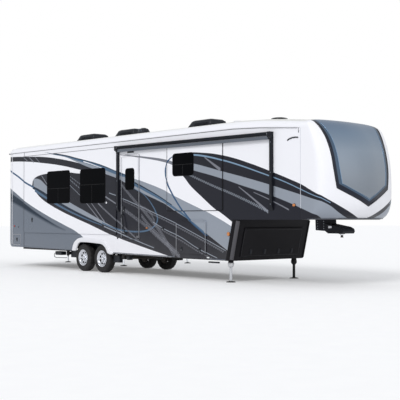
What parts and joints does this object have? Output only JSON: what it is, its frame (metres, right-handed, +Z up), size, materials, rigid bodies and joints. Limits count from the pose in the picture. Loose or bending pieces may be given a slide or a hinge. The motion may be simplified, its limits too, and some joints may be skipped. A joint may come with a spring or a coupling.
{
  "type": "fifth wheel travel trailer",
  "caption": "Tandem-axle fifth wheel travel trailer with gooseneck nose, slide-out rooms, entry and luggage doors, roof units, awning and landing legs.",
  "frame": {"origin": "on the ground, halfway along the body and on its centreline", "axes": "+X forward towards the hitch, +Y to the street side, +Z up"},
  "size_m": [13.908, 2.689, 4.1203],
  "materials": {
    "shell": "gloss white gelcoat with painted charcoal, silver and steel-blue bands",
    "dark_shell": "satin charcoal gelcoat",
    "frame_steel": "black chassis paint",
    "floor_board": "laminated floor board",
    "tyre": "black rubber",
    "wheel_rim": "polished aluminium",
    "tinted_glass": "black tinted frameless glazing",
    "black_plastic": "textured black plastic and black powder coat",
    "bare_aluminium": "satin aluminium and bright steel",
    "lamp_lens": "moulded red lens"
  },
  "bodies": {
    "trailer": {"air_unit_front": "black_plastic", "air_unit_middle": "black_plastic", "air_unit_rear": "black_plastic", "awning_arm_front": "black_plastic", "awning_arm_rear": "black_plastic", "awning_roller": "black_plastic", "axle_front": "frame_steel", "axle_rear": "frame_steel", "chassis_frame": "frame_steel", "door_frame": "shell", "floor_bay": "floor_board", "floor_living": "floor_board", "floor_upper": "floor_board", "front_cap": "shell", "kingpin": "bare_aluminium", "ladder": "bare_aluminium", "landing_leg_curb": "frame_steel", "landing_leg_street": "frame_steel", "pan_middle": "frame_steel", "pan_rear": "frame_steel", "pin_box": "frame_steel", "rear_cap": "shell", "roof": "shell", "roof_dome": "shell", "roof_vent": "black_plastic", "springs_curb": "frame_steel", "springs_street": "frame_steel", "tail_lamp_curb": "lamp_lens", "tail_lamp_street": "lamp_lens", "wall_curb": "shell", "wall_front_lower": "dark_shell", "wall_street": "shell"},
    "wheel_curb_rear": {"tyre_curb_rear": "tyre", "rim_curb_rear": "wheel_rim"},
    "wheel_curb_front": {"tyre_curb_front": "tyre", "rim_curb_front": "wheel_rim"},
    "wheel_street_rear": {"tyre_street_rear": "tyre", "rim_street_rear": "wheel_rim"},
    "wheel_street_front": {"tyre_street_front": "tyre", "rim_street_front": "wheel_rim"},
    "entry_door": {"entry_door": "shell", "window_entry": "tinted_glass"},
    "bay_door_curb": {"bay_door_curb": "shell"},
    "bay_door_street": {"bay_door_street": "shell"},
    "bay_door_front": {"bay_door_front": "dark_shell"},
    "room_living_curb": {"room_living_curb": "shell", "window_living_rear": "tinted_glass", "window_living_front": "tinted_glass"},
    "room_bedroom_curb": {"room_bedroom_curb": "shell", "window_bedroom": "tinted_glass"},
    "room_living_street": {"room_living_street": "shell", "window_dinette": "tinted_glass", "window_sofa": "tinted_glass"},
    "room_bedroom_street": {"room_bedroom_street": "shell", "window_wardrobe": "tinted_glass"}
  },
  "joints": [
    {"name": "wheel_curb_rear_spin", "type": "hinge", "parent": "trailer", "child": "wheel_curb_rear", "pos_m": [-2.505, -1.1195, 0.39], "axis": [0, 1, 0], "continuous": true},
    {"name": "wheel_curb_front_spin", "type": "hinge", "parent": "trailer", "child": "wheel_curb_front", "pos_m": [-1.555, -1.1195, 0.39], "axis": [0, 1, 0], "continuous": true},
    {"name": "wheel_street_rear_spin", "type": "hinge", "parent": "trailer", "child": "wheel_street_rear", "pos_m": [-2.505, 1.1195, 0.39], "axis": [0, 1, 0], "continuous": true},
    {"name": "wheel_street_front_spin", "type": "hinge", "parent": "trailer", "child": "wheel_street_front", "pos_m": [-1.555, 1.1195, 0.39], "axis": [0, 1, 0], "continuous": true},
    {"name": "entry_door_swing", "type": "hinge", "parent": "trailer", "child": "entry_door", "pos_m": [0.22, -1.293, 2.1], "axis": [0, 0, 1], "range_deg": [0, 170]},
    {"name": "bay_door_curb_lift", "type": "hinge", "parent": "trailer", "child": "bay_door_curb", "pos_m": [2.39, -1.293, 1.47], "axis": [-1, 0, 0], "range_deg": [0, 95]},
    {"name": "bay_door_street_lift", "type": "hinge", "parent": "trailer", "child": "bay_door_street", "pos_m": [2.39, 1.293, 1.47], "axis": [1, 0, 0], "range_deg": [0, 95]},
    {"name": "bay_door_front_lift", "type": "hinge", "parent": "trailer", "child": "bay_door_front", "pos_m": [4.05646, 0, 1.2856], "axis": [0, -1, 0], "range_deg": [0, 90]},
    {"name": "room_living_curb_slide", "type": "slide", "parent": "trailer", "child": "room_living_curb", "axis": [0, -1, 0], "range_m": [0, 0.8]},
    {"name": "room_bedroom_curb_slide", "type": "slide", "parent": "trailer", "child": "room_bedroom_curb", "axis": [0, -1, 0], "range_m": [0, 0.45]},
    {"name": "room_living_street_slide", "type": "slide", "parent": "trailer", "child": "room_living_street", "axis": [0, 1, 0], "range_m": [0, 0.8]},
    {"name": "room_bedroom_street_slide", "type": "slide", "parent": "trailer", "child": "room_bedroom_street", "axis": [0, 1, 0], "range_m": [0, 0.45]}
  ]
}
